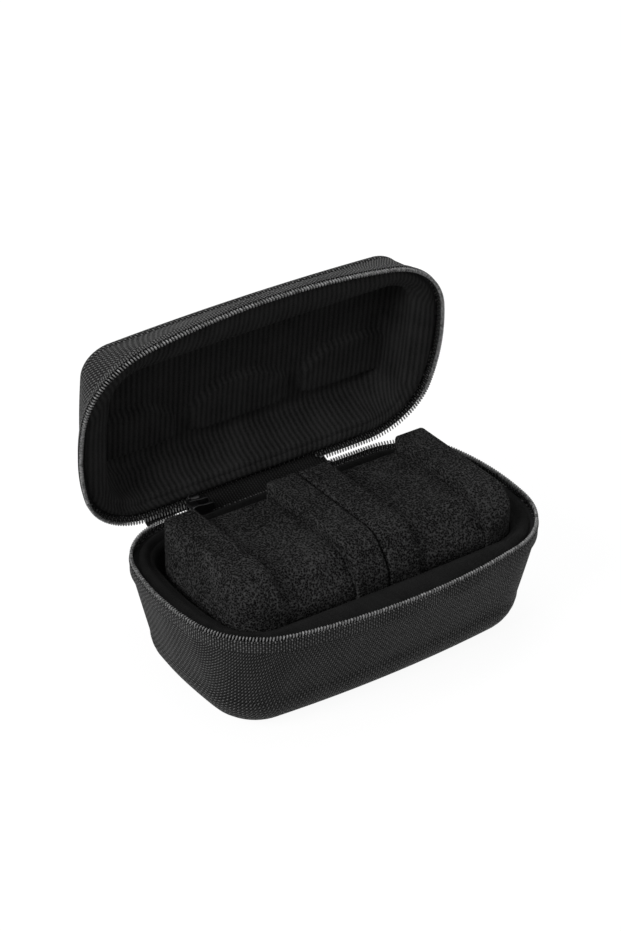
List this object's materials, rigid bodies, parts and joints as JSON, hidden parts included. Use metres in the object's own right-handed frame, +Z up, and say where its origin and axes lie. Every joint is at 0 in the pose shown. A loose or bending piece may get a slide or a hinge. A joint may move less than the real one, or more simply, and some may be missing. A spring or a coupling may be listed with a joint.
{
  "type": "watch travel case",
  "caption": "Zipped hard-shell travel case with a hinged lid, foam wrist-shaped pillows in the base and a fleece lining, for carrying wristwatches",
  "frame": {"origin": "middle of the flat foot under the base", "axes": "+X along the case to the right, -Y to the front, +Y to the hinge side, +Z up; drawn with the lid standing open"},
  "size_m": [0.1734, 0.1373, 0.151],
  "materials": {
    "foam_shell": "matte moulded EVA foam",
    "woven_cover": "black woven nylon",
    "base_lining": "black short-pile velvet",
    "lid_lining": "black brushed knit with fine ribs",
    "zip_tape": "black woven polyester tape",
    "zip_teeth": "black nylon coil with a soft shine",
    "hinge_fabric": "black woven strip",
    "slider_metal": "black painted zinc",
    "pillow_foam": "black open-cell foam"
  },
  "bodies": {
    "base": {"base_shell": "foam_shell", "base_cover": "woven_cover", "base_lining": "base_lining", "zipper_tape_lower": "zip_tape", "zipper_teeth_lower": "zip_teeth", "zipper_stop_lower": "zip_teeth", "hinge_leaf_lower": "hinge_fabric", "hinge_fold": "hinge_fabric"},
    "lid": {"lid_shell": "foam_shell", "lid_cover": "woven_cover", "lid_lining": "lid_lining", "zipper_tape_upper": "zip_tape", "zipper_teeth_upper": "zip_teeth", "zipper_stop_upper": "zip_teeth", "hinge_leaf_upper": "hinge_fabric"},
    "slider": {"slider_body": "slider_metal"},
    "pull": {"pull_tab": "slider_metal"},
    "pillow_left": {"pillow_left_core": "pillow_foam", "pillow_left_cheek_outer": "pillow_foam", "pillow_left_cheek_inner": "pillow_foam"},
    "pillow_right": {"pillow_right_core": "pillow_foam", "pillow_right_cheek_outer": "pillow_foam", "pillow_right_cheek_inner": "pillow_foam"}
  },
  "joints": [
    {"name": "lid_hinge", "type": "hinge", "parent": "base", "child": "lid", "pos_m": [0, 0.0502, 0.0463], "axis": [0.9949, 0, 0.1005], "range_deg": [-33.6, 76.4]},
    {"name": "slider_travel", "type": "slide", "parent": "base", "child": "slider", "axis": [-1, 0, 0], "range_m": [0, 0.008]},
    {"name": "pull_swing", "type": "hinge", "parent": "slider", "child": "pull", "pos_m": [-0.0345, 0.0538, 0.0534], "axis": [1, 0, 0], "range_deg": [0, 25]},
    {"name": "pillow_left_lift", "type": "slide", "parent": "base", "child": "pillow_left", "axis": [0, 0, -1], "range_m": [-0.05, 0]},
    {"name": "pillow_right_lift", "type": "slide", "parent": "base", "child": "pillow_right", "axis": [0, 0, -1], "range_m": [-0.05, 0]}
  ]
}
